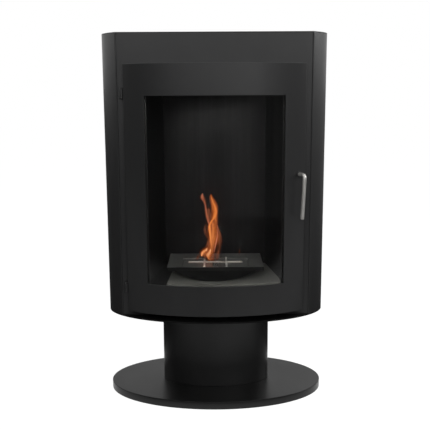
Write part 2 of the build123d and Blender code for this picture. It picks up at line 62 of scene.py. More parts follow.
def newTree(name, inputs, outputs):
    # inputs: name -> default number, outputs: name -> socket kind
    tree = bpy.data.node_groups.new(name, "ShaderNodeTree")
    for label, value in inputs.items():
        socket = tree.interface.new_socket(label, in_out="INPUT", socket_type="NodeSocketFloat")
        socket.default_value = value
    for label, kind in outputs.items():
        tree.interface.new_socket(label, in_out="OUTPUT", socket_type=kind)
    return tree, tree.nodes.new("NodeGroupInput"), tree.nodes.new("NodeGroupOutput")


def addNode(tree, kind, **settings):
    node = tree.nodes.new("ShaderNode" + kind)
    for key, value in settings.items():
        setattr(node, key, value)
    return node


def mathNode(tree, operation, first, second=None):
    node = addNode(tree, "Math", operation=operation)
    for socket, value in zip(node.inputs, (first, second)):
        if isinstance(value, bpy.types.NodeSocket):
            tree.links.new(value, socket)
        elif value is not None:
            socket.default_value = value
    return node.outputs[0]


def remap(tree, source, low, high, newLow=0, newHigh=1):
    # stretches one range over another and holds its ends
    node = addNode(tree, "MapRange")
    tree.links.new(source, node.inputs["Value"])
    for label, value in zip(("From Min", "From Max", "To Min", "To Max"), (low, high, newLow, newHigh)):
        node.inputs[label].default_value = value
    return node.outputs["Result"]


def mixColours(tree, share, dark, light):
    node = addNode(tree, "Mix", data_type="RGBA")
    tree.links.new(share, node.inputs["Factor"])
    for socket, value in ((node.inputs["A"], dark), (node.inputs["B"], light)):
        if isinstance(value, bpy.types.NodeSocket):
            tree.links.new(value, socket)
        else:
            socket.default_value = (*value, 1)
    return node.outputs["Result"]


def pointNoise(tree, stretch, scale, detail=3, roughness=0.5):
    # noise on Object coordinates; stretch squeezes it along X, Y and Z
    place = addNode(tree, "TexCoord")
    mapping = addNode(tree, "Mapping")
    mapping.inputs["Scale"].default_value = stretch
    noise = addNode(tree, "TexNoise")
    noise.inputs["Detail"].default_value = detail
    noise.inputs["Roughness"].default_value = roughness
    if isinstance(scale, bpy.types.NodeSocket):
        tree.links.new(scale, noise.inputs["Scale"])
    else:
        noise.inputs["Scale"].default_value = scale
    tree.links.new(place.outputs["Object"], mapping.inputs["Vector"])
    tree.links.new(mapping.outputs["Vector"], noise.inputs["Vector"])
    return noise.outputs["Fac"]


def average(tree, first, second):
    return mathNode(tree, "MULTIPLY", mathNode(tree, "ADD", first, second), 0.5)


def placeAxes(tree):
    # X, Y and Z of the point that is shaded, in metres
    place, split = addNode(tree, "TexCoord"), addNode(tree, "SeparateXYZ")
    tree.links.new(place.outputs["Object"], split.inputs[0])
    return split.outputs


def facingAxes(tree):
    # X, Y and Z of the way that the face looks
    facing, split = addNode(tree, "NewGeometry"), addNode(tree, "SeparateXYZ")
    tree.links.new(facing.outputs["Normal"], split.inputs[0])
    return split.outputs


# effects that several finishes share

def makePowderGrain():
    # fine orange peel of a sprayed and baked coat, and broad soft patches where it is rubbed
    tree, start, end = newTree("powderGrain", {"Grain Scale": 900, "Patch Scale": 7},
                               {"Grain": "NodeSocketFloat", "Patches": "NodeSocketFloat"})
    grain = pointNoise(tree, (1, 1, 1), start.outputs["Grain Scale"], detail=2)
    patches = pointNoise(tree, (1, 1, 0.6), start.outputs["Patch Scale"], detail=4, roughness=0.6)
    tree.links.new(grain, end.inputs["Grain"])
    tree.links.new(remap(tree, patches, 0.35, 0.65), end.inputs["Patches"])
    return tree


def makeBrushedLines(name, stretch):
    # short parallel scratches along one direction
    tree, start, end = newTree(name, {"Scale": 60}, {"Lines": "NodeSocketFloat"})
    lines = pointNoise(tree, stretch, start.outputs["Scale"], detail=4, roughness=0.7)
    tree.links.new(remap(tree, lines, 0.3, 0.7), end.inputs["Lines"])
    return tree


def makeSettledDust():
    # a thin film that lies only on faces that look up, thicker in soft patches
    options = {"lookingUp": (0.6, 1), "patches": (0.3, 0.75), "thinnest": 0.3}
    tree, start, end = newTree("settledDust", {"Amount": 0.1, "Scale": 9}, {"Dust": "NodeSocketFloat"})
    level = remap(tree, facingAxes(tree)["Z"], *options["lookingUp"])
    patches = pointNoise(tree, (1, 1, 1), start.outputs["Scale"], detail=5, roughness=0.65)
    patches = remap(tree, patches, *options["patches"], options["thinnest"], 1)
    film = mathNode(tree, "MULTIPLY", level, patches)
    film = mathNode(tree, "MULTIPLY", film, start.outputs["Amount"])
    tree.links.new(film, end.inputs["Dust"])
    return tree


powderGrain = makePowderGrain()
linesDown = makeBrushedLines("brushedDown", (14, 14, 0.35))
linesAcross = makeBrushedLines("brushedAcross", (0.35, 14, 14))
settledDust = makeSettledDust()
print("shared effects made")


def useGroup(tree, group, **values):
    # values: the group's inputs by name, with _ for a space
    node = addNode(tree, "Group", node_tree=group)
    for label, value in values.items():
        node.inputs[label.replace("_", " ")].default_value = value
    return node


def newFinish(name, settings):
    # a Principled finish with its plain numbers set on its own sockets
    material = bpy.data.materials.new(name)
    material.use_nodes = True
    tree = material.node_tree
    shader = tree.nodes["Principled BSDF"]
    for label, value in settings.items():
        shader.inputs[label].default_value = value
    return material, tree, shader


def mixedSurface(tree, share, first, second):
    # the material shows the first shader where the share is 0 and the second where it is 1
    mix = addNode(tree, "MixShader")
    tree.links.new(share, mix.inputs[0])
    tree.links.new(first.outputs[0], mix.inputs[1])
    tree.links.new(second.outputs[0], mix.inputs[2])
    tree.links.new(mix.outputs[0], tree.nodes["Material Output"].inputs["Surface"])


def addBump(tree, shader, height, distance, strength=1):
    bump = addNode(tree, "Bump")
    bump.inputs["Distance"].default_value = distance
    bump.inputs["Strength"].default_value = strength
    tree.links.new(height, bump.inputs["Height"])
    tree.links.new(bump.outputs["Normal"], shader.inputs["Normal"])
    return bump


# finishes

def satinBlack(name, options):
    # sprayed stove paint: fine grain, rubbed patches a little smoother, a trace of dust on top
    material, tree, shader = newFinish(name, {"Specular IOR Level": options["sheen"]})
    grain = useGroup(tree, powderGrain, Grain_Scale=options["grainScale"],
                     Patch_Scale=options["patchScale"])
    dust = useGroup(tree, settledDust, Amount=options["dust"])
    coat = mixColours(tree, grain.outputs["Patches"], options["dark"], options["light"])
    colour = mixColours(tree, dust.outputs["Dust"], coat, options["dustColour"])
    tree.links.new(colour, shader.inputs["Base Color"])
    rough = remap(tree, grain.outputs["Patches"], 0, 1, *options["roughness"])
    tree.links.new(rough, shader.inputs["Roughness"])
    bump = addBump(tree, shader, grain.outputs["Grain"], options["grainDepth"])
    # folded edges and sanded cuts are a little round, too little for the mesh
    rounding = addNode(tree, "Bevel", samples=options["edgeSamples"])
    rounding.inputs["Radius"].default_value = options["edgeRadius"]
    tree.links.new(rounding.outputs["Normal"], bump.inputs["Normal"])
    return material


paint = {
    "dark": (0.016, 0.016, 0.0163), "light": (0.021, 0.021, 0.0213), "dustColour": (0.08, 0.077, 0.073),
    "sheen": 0.57, "roughness": (0.41, 0.35), "grainScale": 900, "patchScale": 7,
    "grainDepth": 0.00006, "dust": 0.06, "edgeRadius": 0.0025, "edgeSamples": 6,
}
blackPaint = satinBlack("satinBlackPaint", paint)
# a darker copy of the paint for the column: painted shade, as it stands in the shade under the body
shadedColumnPaint = satinBlack("shadedColumnPaint", {
    **paint, "dark": (0.004, 0.004, 0.0041), "light": (0.007, 0.007, 0.0071), "sheen": 0.85})
# a darker copy of the paint for the foot: painted shade, as the body above shades it
shadedFootPaint = satinBlack("shadedFootPaint", {
    **paint, "dark": (0.002, 0.002, 0.002), "light": (0.004, 0.004, 0.004), "sheen": 0.31, "dust": 0.01,
    "patchScale": 5, "roughness": (0.36, 0.31)})
rawBlack = satinBlack("rawBlackSteel", {
    **paint, "dark": (0.005, 0.005, 0.005), "light": (0.009, 0.009, 0.009), "sheen": 0.3, "dust": 0.0,
    "roughness": (0.62, 0.55)})
# the darkest black, for the bottom plate, the head flange and the burner trough: painted shade, as they sit
# in the shade under the body and the burner
shadeBlack = satinBlack("shadeBlackSteel", {
    **paint, "dark": (0.0025, 0.0025, 0.0025), "light": (0.006, 0.006, 0.006), "sheen": 0.16,
    "dust": 0.0, "patchScale": 24, "roughness": (0.66, 0.55)})


def glossEnamel():
    # black lining: glossy, with upright wipe marks that vary its gloss and whose lighter colour is painted
    # reflection streaks, and painted shade that darkens it towards the side walls
    options = {
        "dark": (0.007, 0.007, 0.0076), "light": (0.023, 0.023, 0.0245), "roughness": (0.29, 0.42),
        "streakScale": 3.2, "fineScale": 26, "fineShare": 0.25, "spread": (0.4, 0.95),
        "depth": 0.0002, "strength": 0.5,
        # the painted shade starts and is full at these shares of the way from the middle to the side walls
        "paintedShade": (0.002, 0.002, 0.0022), "shadeFrom": 0.12, "shadeTo": 0.74, "sideRoughness": 0.7,
    }
    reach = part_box("firebox_liner")[1].x
    material, tree, shader = newFinish("glossBlackLiner", {"Specular IOR Level": 0.3})
    streaks = useGroup(tree, linesDown, Scale=options["streakScale"])
    fine = useGroup(tree, linesDown, Scale=options["fineScale"])
    coarse = mathNode(tree, "MULTIPLY", streaks.outputs["Lines"], 1 - options["fineShare"])
    fine = mathNode(tree, "MULTIPLY", fine.outputs["Lines"], options["fineShare"])
    share = remap(tree, mathNode(tree, "ADD", coarse, fine), *options["spread"])
    # painted shade: the colour darkens from the middle towards the side walls, where the roughness also
    # rises
    aside = mathNode(tree, "ABSOLUTE", placeAxes(tree)["X"])
    paintedShade = remap(tree, aside, options["shadeFrom"] * reach, options["shadeTo"] * reach)
    # the lighter colour of the wipe marks is painted reflection streaks
    enamel = mixColours(tree, share, options["dark"], options["light"])
    tree.links.new(mixColours(tree, paintedShade, enamel, options["paintedShade"]), shader.inputs["Base Color"])
    gloss = remap(tree, share, 0, 1, *options["roughness"])
    matt = mathNode(tree, "MULTIPLY", paintedShade, options["sideRoughness"])
    tree.links.new(mathNode(tree, "MAXIMUM", gloss, matt), shader.inputs["Roughness"])
    addBump(tree, shader, share, options["depth"], options["strength"])
    return material


def brushedMetal(name, options, lines):
    # metal with fine parallel scratches and a soft change of tone
    material, tree, shader = newFinish(name, {"Metallic": options["metal"]})
    fine = useGroup(tree, lines, Scale=options["scale"]).outputs["Lines"]
    tone = remap(tree, pointNoise(tree, (1, 1, 1), options["toneScale"]), 0.35, 0.65)
    share = average(tree, fine, tone)
    tree.links.new(mixColours(tree, share, options["dark"], options["light"]), shader.inputs["Base Color"])
    tree.links.new(remap(tree, fine, 0, 1, *options["roughness"]), shader.inputs["Roughness"])
    addBump(tree, shader, fine, options["depth"], strength=0.6)
    return material


stainless = brushedMetal("brushedStainless", {
    "dark": (0.54, 0.526, 0.498), "light": (0.72, 0.706, 0.674), "roughness": (0.30, 0.42),
    "metal": 0.7, "scale": 90, "toneScale": 20, "depth": 0.00003}, linesDown)
slotSteel = brushedMetal("heatedStainless", {
    "dark": (0.52, 0.50, 0.46), "light": (0.74, 0.71, 0.67), "roughness": (0.25, 0.40), "metal": 0.35,
    "scale": 90, "toneScale": 40, "depth": 0.00003}, linesAcross)
# a lighter copy of the heated stainless for the lid guides: painted highlight, standing in for the bright
# reflections on their upward faces
brightenedGuideSteel = brushedMetal("brightenedStainless", {
    "dark": (0.80, 0.77, 0.72), "light": (1.0, 0.98, 0.94), "roughness": (0.25, 0.40), "metal": 0.35,
    "scale": 90, "toneScale": 40, "depth": 0.00003}, linesDown)
zinc = brushedMetal("zincPlate", {
    "dark": (0.34, 0.35, 0.37), "light": (0.56, 0.57, 0.58), "roughness": (0.34, 0.5), "metal": 1.0,
    "scale": 240, "toneScale": 160, "depth": 0.00002}, linesAcross)


def burnerSteel(name, options):
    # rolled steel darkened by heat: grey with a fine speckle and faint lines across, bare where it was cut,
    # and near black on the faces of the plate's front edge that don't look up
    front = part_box("burner_top_plate")[0].y
    material, tree, shader = newFinish(name, {"Metallic": 0.25, "Specular IOR Level": 0.5})
    lines = useGroup(tree, linesAcross, Scale=options["lineScale"]).outputs["Lines"]
    speckle = pointNoise(tree, (1, 1, 1), options["speckleScale"], detail=3, roughness=0.7)
    share = average(tree, lines, remap(tree, speckle, *options["speckle"]))
    behind = remap(tree, placeAxes(tree)["Y"], front, front + options["edgeDepth"])
    level = remap(tree, facingAxes(tree)["Z"], *options["lookingUp"])
    grey = mathNode(tree, "MAXIMUM", behind, level)
    steel = mixColours(tree, share, options["dark"], options["light"])
    steel = mixColours(tree, level, options["cut"], steel)
    tree.links.new(mixColours(tree, grey, options["edge"], steel), shader.inputs["Base Color"])
    tree.links.new(remap(tree, share, 0, 1, *options["roughness"]), shader.inputs["Roughness"])
    addBump(tree, shader, share, options["depth"])
    return material


def pressedBoard():
    # heat-proof mineral board: matt olive grey with a close speckle and rubbed lighter patches
    options = {"dark": (0.15, 0.15, 0.136), "light": (0.22, 0.22, 0.20), "roughness": (0.75, 0.9),
               "speckleScale": 650, "patchScale": 16, "spread": (0.3, 0.7), "depth": 0.00015}
    material, tree, shader = newFinish("pressedBoard", {"Specular IOR Level": 0.25})
    speckle = pointNoise(tree, (1, 1, 1), options["speckleScale"], detail=4, roughness=0.75)
    speckle = remap(tree, speckle, *options["spread"])
    patches = pointNoise(tree, (1, 1, 1), options["patchScale"], detail=4, roughness=0.6)
    share = average(tree, speckle, remap(tree, patches, *options["spread"]))
    tree.links.new(mixColours(tree, share, options["dark"], options["light"]), shader.inputs["Base Color"])
    tree.links.new(remap(tree, speckle, 0, 1, *options["roughness"]), shader.inputs["Roughness"])
    addBump(tree, shader, speckle, options["depth"])
    return material


def fibreTape(name, dark, light, scale, depth):
    # spun fibre: crossing threads as a fine uneven height
    material, tree, shader = newFinish(name, {"Roughness": 0.95, "Specular IOR Level": 0.15})
    threads = pointNoise(tree, (1, 0.4, 1), scale, detail=5, roughness=0.8)
    share = remap(tree, threads, 0.3, 0.7)
    tree.links.new(mixColours(tree, share, dark, light), shader.inputs["Base Color"])
    addBump(tree, shader, share, depth)
    return material


def padRubber():
    # moulded rubber with a matt, slightly bloomed skin
    options = {"dark": (0.014, 0.014, 0.014), "light": (0.03, 0.03, 0.03), "roughness": (0.7, 0.85),
               "bloomScale": 140, "bloom": (0.35, 0.7), "depth": 0.00008}
    material, tree, shader = newFinish("padRubber", {"Specular IOR Level": 0.3})
    bloom = pointNoise(tree, (1, 1, 1), options["bloomScale"], detail=4, roughness=0.7)
    bloom = remap(tree, bloom, *options["bloom"])
    tree.links.new(mixColours(tree, bloom, options["dark"], options["light"]), shader.inputs["Base Color"])
    tree.links.new(remap(tree, bloom, 0, 1, *options["roughness"]), shader.inputs["Roughness"])
    addBump(tree, shader, bloom, options["depth"])
    return material


def ceramicGlass():
    # clear heat-proof glass with a light smoke tint, faint reflections and upright wipe marks; lamps
    # reach what is behind it
    options = {"tint": (0.80, 0.80, 0.79, 1), "index": 1.3, "wipeStretch": (9, 9, 0.5), "wipeScale": 7,
               "wipes": (0.45, 0.75), "roughness": (0.0, 0.02)}
    material, tree, shader = newFinish("ceramicGlass", {
        "Base Color": options["tint"], "Transmission Weight": 1.0, "Roughness": 0.0,
        "IOR": options["index"]})
    wipes = pointNoise(tree, options["wipeStretch"], options["wipeScale"], detail=4, roughness=0.6)
    wipes = remap(tree, wipes, *options["wipes"], *options["roughness"])
    tree.links.new(wipes, shader.inputs["Roughness"])
    through = addNode(tree, "BsdfTransparent")
    through.inputs["Color"].default_value = options["tint"]
    path = addNode(tree, "LightPath")
    mixedSurface(tree, path.outputs["Is Shadow Ray"], shader, through)
    return material


liner = glossEnamel()
burnerSheet = {
    "dark": (0.11, 0.115, 0.112), "light": (0.22, 0.225, 0.218), "edge": (0.003, 0.003, 0.003),
    "cut": (0.24, 0.24, 0.23), "edgeDepth": 0.002, "roughness": (0.34, 0.52), "lineScale": 70,
    "speckleScale": 420, "speckle": (0.35, 0.7), "lookingUp": (0.5, 0.9), "depth": 0.00004,
}
darkSteel = burnerSteel("burnerSteel", burnerSheet)
# a darker copy of the burner steel for the lid tab: painted shade, that holds back the extra lamp light on
# its upright face
shadedTabSteel = burnerSteel("shadedTabSteel", {
    **burnerSheet, "dark": (0.04, 0.04, 0.04), "light": (0.09, 0.09, 0.088), "cut": (0.07, 0.068, 0.064)})
board = pressedBoard()
wool = fibreTape("ceramicWool", (0.45, 0.40, 0.33), (0.80, 0.77, 0.70), 500, 0.0006)
tape = fibreTape("sealTape", (0.012, 0.012, 0.012), (0.04, 0.04, 0.04), 700, 0.0003)
rubber = padRubber()
glass = ceramicGlass()

finishes = {
    "foot_shell": shadedFootPaint, "foot_ballast": rawBlack, "foot_pads": rubber,
    "pedestal_column": shadedColumnPaint, "pedestal_foot_flange": rawBlack, "pedestal_head_flange": shadeBlack,
    "foot_bolts": zinc, "body_bolts": zinc, "body_bottom_plate": shadeBlack, "outer_shell": blackPaint,
    "top_plate": blackPaint, "front_frame": blackPaint, "firebox_floor": liner, "firebox_liner": liner,
    "firebox_ceiling": liner, "hearth_slab": board, "floor_supports": zinc, "liner_spacers": zinc,
    "burner_top_plate": darkSteel, "burner_trough": shadeBlack, "fuel_tub": slotSteel, "ceramic_wool": wool,
    "burner_deck": darkSteel, "slot_lining": slotSteel, "lid_guides": brightenedGuideSteel, "slide_lid": darkSteel,
    "lid_tab": shadedTabSteel, "door_skin": blackPaint, "door_bottom_cap": blackPaint,
    "door_top_cap": blackPaint, "door_glass": glass, "glass_gasket": tape, "glass_clips": zinc,
    "clip_nuts": zinc, "lower_door_knuckle": blackPaint, "upper_door_knuckle": blackPaint,
    "lower_frame_bracket": blackPaint, "upper_frame_bracket": blackPaint, "lower_hinge_pin": blackPaint,
    "upper_hinge_pin": blackPaint, "bracket_screws": zinc, "handle_bush": blackPaint, "bush_nut": zinc,
    "handle_lever": stainless, "latch_spindle": stainless, "latch_tongue": zinc, "spindle_nut": zinc,
    "latch_keeper": zinc, "keeper_screws": zinc,
}
for nodeName, finish in finishes.items():
    mesh = nodes[nodeName].data
    mesh.materials.clear()
    mesh.materials.append(finish)
print("finishes set:", len(finishes), "nodes, left over:", sorted(set(nodes) - set(finishes)))


# flame

flame = {
    "low": 0.0005, "rows": 56, "turns": 24, "flat": 0.85, "thinnest": 0.0003, "keep": 0.012,
    "waver": {"depth": 0.003, "climb": 45, "shift": 300},
    "ripple": {"depth": 0.07, "folds": 3, "climb": 120},
    # how bright it is, how much of it is left at its foot, the noise between its clear and thick wisps,
    # and where in its depth the rim, middle and heart colours stand
    "power": 1.3, "birth": 0.3, "wispSpread": (0.36, 0.64), "stops": (0.1, 0.55, 1.0),
    # rim, middle and heart colours, how solid the heart is, how soft its rim, how patchy it is, the size
    # of its wisps, the height over which it fades in and how much its soft rim is widened
    "kinds": {
        "hot": {
            "rim": (0.72, 0.17, 0.03), "middle": (1.0, 0.34, 0.11), "heart": (1.0, 0.55, 0.28),
            "solid": 0.95, "soft": 0.76, "wisps": (0.6, 1.15), "wispScale": 110, "fade": 0.022,
            "widen": 1.05},
        "bright": {
            "rim": (0.60, 0.11, 0.015), "middle": (0.86, 0.23, 0.04), "heart": (1.0, 0.36, 0.10),
            "solid": 0.85, "soft": 0.80, "wisps": (0.55, 1.15), "wispScale": 100, "fade": 0.02,
            "widen": 1.12},
        "line": {
            "rim": (0.34, 0.075, 0.035), "middle": (0.48, 0.14, 0.08), "heart": (0.66, 0.25, 0.16),
            "solid": 0.62, "soft": 0.78, "wisps": (0.3, 1.15), "wispScale": 100, "fade": 0.02,
            "widen": 1.12},
        "body": {
            "rim": (0.40, 0.07, 0.010), "middle": (0.56, 0.13, 0.025), "heart": (0.82, 0.24, 0.05),
            "solid": 0.62, "soft": 0.82, "wisps": (0.2, 1.2), "wispScale": 95, "fade": 0.10,
            "widen": 1.15},
        "veil": {
            "rim": (0.22, 0.05, 0.015), "middle": (0.32, 0.085, 0.035), "heart": (0.44, 0.13, 0.055),
            "solid": 0.28, "soft": 0.87, "wisps": (0.1, 1.25), "wispScale": 90, "fade": 0.02,
            "widen": 1.05},
    },
    # lobes that a faint wider veil surrounds, and how much wider it is
    "halos": {"trunk": 1.45, "leftLine": 2.4, "archBody": 1.2},
    # each lobe: its kind, heights above the flame's foot, then middle and half width there, in metres
    "lobes": {
        "trunk": ("body",
            (0.005, 0.0198, 0.0353, 0.0508, 0.0663, 0.0818, 0.0973, 0.1128, 0.1283, 0.1438, 0.1593, 0.1748,
             0.1856, 0.1957),
            (-0.0128, -0.013, -0.0119, -0.0088, -0.006, -0.0048, -0.0069, -0.0059, -0.0025, -0.0007, -0.0022,
             -0.0069, -0.0098, -0.0117),
            (0.009, 0.0108, 0.012, 0.0138, 0.0147, 0.015, 0.0135, 0.0114, 0.0087, 0.009, 0.009, 0.0078,
             0.0051, 0.0004)),
        "core": ("bright",
            (0.0508, 0.0663, 0.0818, 0.0973, 0.1066, 0.1143, 0.1252, 0.1376, 0.1484, 0.1593, 0.1701, 0.1809,
             0.1887),
            (-0.0117, -0.0125, -0.0139, -0.0153, -0.0155, -0.0123, -0.0044, 0.0003, 0.0013, -0.0007, -0.0048,
             -0.0092, -0.0107),
            (0.0006, 0.0021, 0.003, 0.0036, 0.0036, 0.0033, 0.0042, 0.0054, 0.0048, 0.0036, 0.0024, 0.0019,
             0.0004)),
        "leftLine": ("line",
            (0.1058, 0.1128, 0.1252, 0.1376, 0.1515, 0.1639, 0.1732, 0.1809, 0.1879, 0.1965),
            (-0.0161, -0.0181, -0.021, -0.0235, -0.0253, -0.0269, -0.0298, -0.0335, -0.0352, -0.0343),
            (0.0006, 0.0022, 0.0025, 0.0024, 0.0022, 0.0021, 0.003, 0.0042, 0.0036, 0.0006)),
        "between": ("veil",
            (0.1081, 0.1205, 0.1329, 0.1438, 0.1531, 0.1593),
            (-0.0161, -0.0167, -0.0174, -0.0181, -0.018, -0.0179),
            (0.0009, 0.0075, 0.0096, 0.009, 0.006, 0.0004)),
        "leftBulge": ("veil",
            (0.0663, 0.0771, 0.088, 0.0988, 0.1081, 0.1143),
            (-0.0187, -0.0231, -0.0267, -0.0281, -0.0263, -0.0243),
            (0.0006, 0.0054, 0.0066, 0.0057, 0.0033, 0.0004)),
        "archBody": ("body",
            (0.0128, 0.0213, 0.0306, 0.0384, 0.0446, 0.0492),
            (-0.0258, -0.0265, -0.0269, -0.0256, -0.0233, -0.021),
            (0.0045, 0.0138, 0.0156, 0.0127, 0.0075, 0.0006)),
        "archLeft": ("hot",
            (0.0174, 0.0244, 0.0309, 0.0359, 0.0396, 0.043),
            (-0.0388, -0.0368, -0.0329, -0.028, -0.0248, -0.0229),
            (0.0006, 0.0039, 0.006, 0.0066, 0.0039, 0.0004)),
        "archRight": ("hot",
            (0.0112, 0.0174, 0.0238, 0.0296, 0.0352, 0.0405),
            (-0.0191, -0.0205, -0.0197, -0.0167, -0.0144, -0.0131),
            (0.0009, 0.0042, 0.0057, 0.0048, 0.0027, 0.0004)),
        "lick": ("veil",
            (0.005, 0.0105, 0.0166, 0.0221, 0.0267),
            (-0.0513, -0.051, -0.0494, -0.0467, -0.0449),
            (0.0015, 0.0054, 0.0054, 0.003, 0.0004)),
        "rightVeil": ("veil",
            (0.0058, 0.0198, 0.0353, 0.0508, 0.0663, 0.0818, 0.0942, 0.1035, 0.1097),
            (0.0041, 0.0057, 0.0081, 0.0112, 0.0128, 0.0119, 0.0093, 0.0066, 0.0053),
            (0.003, 0.0067, 0.0078, 0.0072, 0.0069, 0.0057, 0.0039, 0.0021, 0.0004)),
        "rightLine": ("line",
            (0.0306, 0.0461, 0.0616, 0.0771, 0.0926, 0.1066),
            (-0.0032, -0.0004, 0.003, 0.0057, 0.006, 0.0046),
            (0.0004, 0.0013, 0.0016, 0.0016, 0.0015, 0.0004)),
        "lowVeil": ("veil",
            (0.0399, 0.0492, 0.0585, 0.0663),
            (-0.0271, -0.0248, -0.0222, -0.0202),
            (0.0015, 0.0036, 0.003, 0.0004)),
        "farLine": ("veil",
            (0.0198, 0.026, 0.0337, 0.0399),
            (0.0663, 0.0664, 0.0669, 0.068),
            (0.0006, 0.0016, 0.0015, 0.0004)),
    },
}


def smoothCurve(heights, values, wanted):
    # cubic through the given heights, its slope at each being that of its two neighbours (Hermite)
    heights, values = np.array(heights), np.array(values)
    slope = np.gradient(values, heights)
    i = np.clip(np.searchsorted(heights, wanted, side="right") - 1, 0, len(heights) - 2)
    span = heights[i + 1] - heights[i]
    t = (wanted - heights[i]) / span
    return ((2 * t ** 3 - 3 * t ** 2 + 1) * values[i] + (t ** 3 - 2 * t ** 2 + t) * span * slope[i]
            + (3 * t ** 2 - 2 * t ** 3) * values[i + 1] + (t ** 3 - t ** 2) * span * slope[i + 1])


def lobeSurface(heights, middles, halves, widen, slotY, foot):
    # a closed lobe: at height z an oval of half width half(z), a little flattened front to back, round
    # the middle line x(z); its depth wavers slowly with height and a shallow three-fold ripple climbs it
    v = np.linspace(0, 1, flame["rows"])
    z = heights[0] + (heights[-1] - heights[0]) * v
    middle = smoothCurve(heights, middles, z)
    half = np.maximum(smoothCurve(heights, halves, z), flame["thinnest"]) * widen
    u = np.linspace(0, 2 * math.pi, flame["turns"], endpoint=False)
    waver, ripple = flame["waver"], flame["ripple"]
    sway = waver["depth"] * np.sin(z * waver["climb"] + middle[0] * waver["shift"])
    swell = 1 + ripple["depth"] * np.sin(ripple["folds"] * u[None, :] + z[:, None] * ripple["climb"])
    x = middle[:, None] + half[:, None] * np.cos(u)[None, :] * swell
    y = slotY + sway[:, None] + flame["flat"] * half[:, None] * np.sin(u)[None, :] * swell
    return np.stack([x, y, np.broadcast_to((foot + z)[:, None], x.shape)], axis=-1)


def closedLobe(grid, offset):
    # quads between rows, wrapped round, and one cap face at each end
    rows, turns = grid.shape[:2]
    i, j = np.meshgrid(np.arange(rows - 1), np.arange(turns), indexing="ij")
    k = (j + 1) % turns
    quads = np.stack([i * turns + j, i * turns + k, (i + 1) * turns + k, (i + 1) * turns + j], axis=-1)
    faces = (quads.reshape(-1, 4) + offset).tolist()
    faces.append([offset + n for n in reversed(range(turns))])
    faces.append([offset + (rows - 1) * turns + n for n in range(turns)])
    return grid.reshape(-1, 3), faces


def flameFinish(name, options, foot):
    # thin glowing gas: solid and pale where it is deep, red and clear towards its rim and at its foot
    material, tree, shader = newFinish(name, {})
    tree.nodes.remove(shader)
    birth = remap(tree, placeAxes(tree)["Z"], foot, foot + options["fade"], flame["birth"], 1)
    wisps = pointNoise(tree, (1, 1, 0.16), options["wispScale"], detail=4, roughness=0.65)
    wisps = remap(tree, wisps, *flame["wispSpread"], *options["wisps"])
    facing = addNode(tree, "LayerWeight")
    facing.inputs["Blend"].default_value = options["soft"]
    heart = mathNode(tree, "SUBTRACT", 1, facing.outputs["Facing"])
    glow = mathNode(tree, "MULTIPLY", heart, wisps)
    ramp = addNode(tree, "ValToRGB")
    rimAt, middleAt, heartAt = flame["stops"]
    stops = ramp.color_ramp.elements
    stops[0].position, stops[0].color = rimAt, (*options["rim"], 1)
    stops[1].position, stops[1].color = heartAt, (*options["heart"], 1)
    stops.new(middleAt).color = (*options["middle"], 1)
    tree.links.new(glow, ramp.inputs["Fac"])
    light = addNode(tree, "Emission")
    light.inputs["Strength"].default_value = flame["power"]
    tree.links.new(ramp.outputs["Color"], light.inputs["Color"])
    share = mathNode(tree, "MULTIPLY", mathNode(tree, "MULTIPLY", glow, birth), options["solid"])
    mixedSurface(tree, mathNode(tree, "MINIMUM", share, 1), addNode(tree, "BsdfTransparent"), light)
    return material


def makeFlame(kind, options):
    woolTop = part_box("ceramic_wool")[1].z
    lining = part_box("slot_lining")
    slotY = (lining[0].y + lining[1].y) / 2
    foot = woolTop + flame["low"]
    lobes = [(lobe, options["widen"]) for lobe in flame["lobes"].values() if lobe[0] == kind]
    if kind == "veil":
        lobes += [(flame["lobes"][name], widen) for name, widen in flame["halos"].items()]
    points, faces = [], []
    for (_, heights, middles, halves), widen in lobes:
        grid = lobeSurface(heights, middles, halves, widen, slotY, foot)
        lobe, lobeFaces = closedLobe(grid, sum(len(p) for p in points))
        points.append(lobe)
        faces += lobeFaces
    name = "flame" + kind.capitalize()
    piece = linkMesh(name, np.concatenate(points).tolist(), faces, flameFinish(name, options, foot))
    piece.data.polygons.foreach_set("use_smooth", np.ones(len(faces), dtype=bool))
    piece.data.update()
    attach(piece, "stove")
    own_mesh(piece)


for flameKind, kindOptions in flame["kinds"].items():
    makeFlame(flameKind, kindOptions)
print("flame made")


# studio: world, floor, cards, lamps and camera

def backgroundRays(tree):
    # 1 for rays that should see the plain white surroundings
    path = addNode(tree, "LightPath")
    seen = mathNode(tree, "MAXIMUM", path.outputs["Is Camera Ray"], path.outputs["Is Glossy Ray"])
    return mathNode(tree, "MAXIMUM", seen, path.outputs["Is Transmission Ray"])


# white to those rays, and a faint light on the stove from all round
surroundings = {"colour": (1.0, 1.0, 1.0), "level": 0.14}


def makeWorld():
    world = bpy.data.worlds.new("studioWorld")
    bpy.context.scene.world = world
    world.use_nodes = True
    tree = world.node_tree
    back = tree.nodes["Background"]
    back.inputs["Color"].default_value = (*surroundings["colour"], 1)
    level = remap(tree, backgroundRays(tree), 0, 1, surroundings["level"], 1)
    tree.links.new(level, back.inputs["Strength"])


paleFloor = {"size": 30, "grey": (0.32, 0.32, 0.32, 1), "roughness": 0.9, "glow": 0.97,
             "shade": (0.22, 0.22, 0.22, 1)}


def floorFinish():
    # white to the camera and in reflections, with the stove's soft shadow; a plain grey to other light
    material, tree, plain = newFinish("paleFloor", {
        "Base Color": paleFloor["grey"], "Roughness": paleFloor["roughness"]})
    glow = addNode(tree, "Emission")
    glow.inputs["Strength"].default_value = paleFloor["glow"]
    shade = addNode(tree, "BsdfDiffuse")
    shade.inputs["Color"].default_value = paleFloor["shade"]
    both = addNode(tree, "AddShader")
    tree.links.new(glow.outputs[0], both.inputs[0])
    tree.links.new(shade.outputs[0], both.inputs[1])
    mixedSurface(tree, backgroundRays(tree), plain, both)
    return material


def makeFloor():
    half = paleFloor["size"] / 2
    corners = [(-half, -half, 0), (half, -half, 0), (half, half, 0), (-half, half, 0)]
    linkMesh("floor", corners, [(0, 1, 2, 3)], floorFinish())


